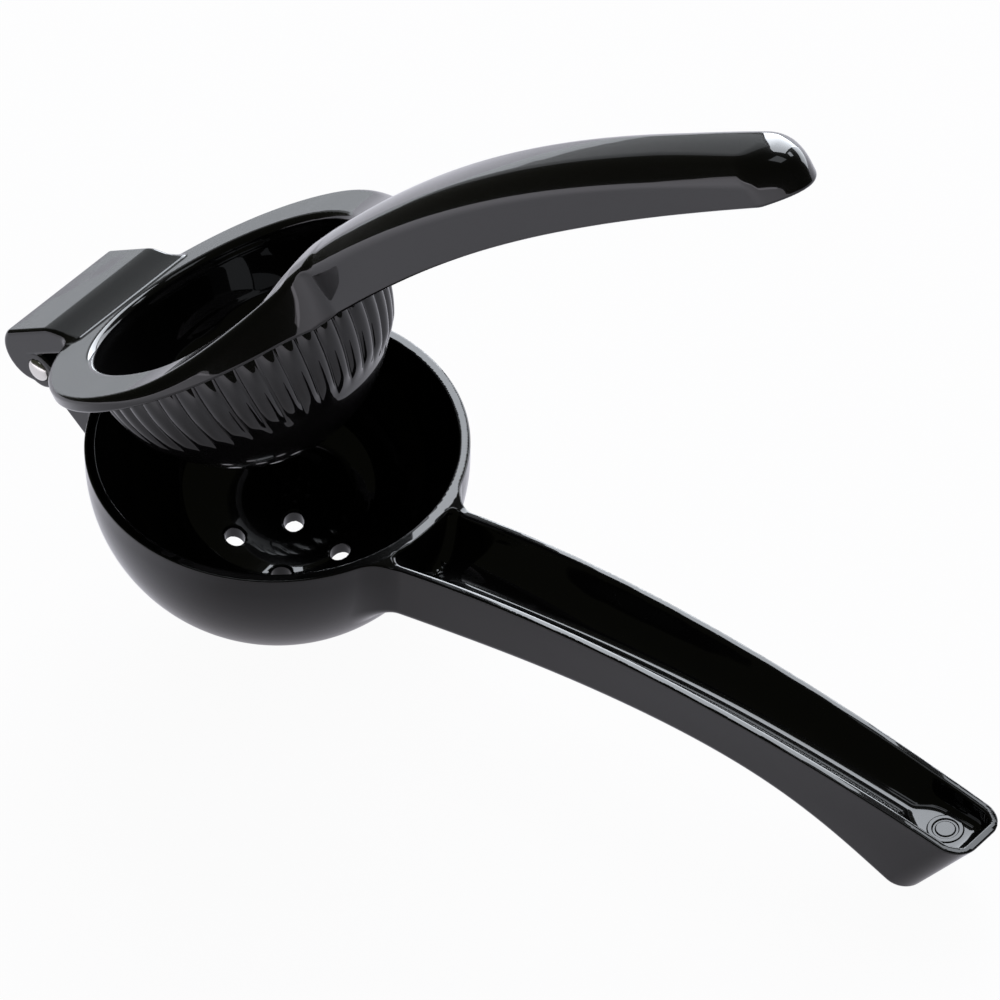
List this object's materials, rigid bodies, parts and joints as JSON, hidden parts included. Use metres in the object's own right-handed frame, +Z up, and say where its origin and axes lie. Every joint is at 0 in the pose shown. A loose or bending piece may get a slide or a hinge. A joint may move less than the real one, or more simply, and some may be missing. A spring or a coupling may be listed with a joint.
{
  "type": "hinged lemon squeezer",
  "caption": "Hand lemon squeezer: a strainer bowl with a channelled handle, and a fluted press cup on a long handle that folds into it about a hinge pin.",
  "frame": {"origin": "on the table level, under the middle of the squeezer's box at rest, which is open by 35.6 degrees", "axes": "+Z up from the table, +X from the hinge towards the handle ends, +Y across the squeezer along the hinge pin"},
  "size_m": [0.2334, 0.0776, 0.1668],
  "materials": {
    "black_enamel": "gloss black enamel on cast aluminium, slightly uneven as cast",
    "pin_steel": "bright turned steel with domed ends"
  },
  "bodies": {
    "bowl_arm": {"bowl_arm": "black_enamel"},
    "press_arm": {"press_arm": "black_enamel", "hinge_pin": "pin_steel"}
  },
  "joints": [
    {"name": "press_hinge", "type": "hinge", "parent": "bowl_arm", "child": "press_arm", "pos_m": [-0.10761, 0, 0.04991], "axis": [0, -1, 0], "range_deg": [-35.6, 84]}
  ]
}
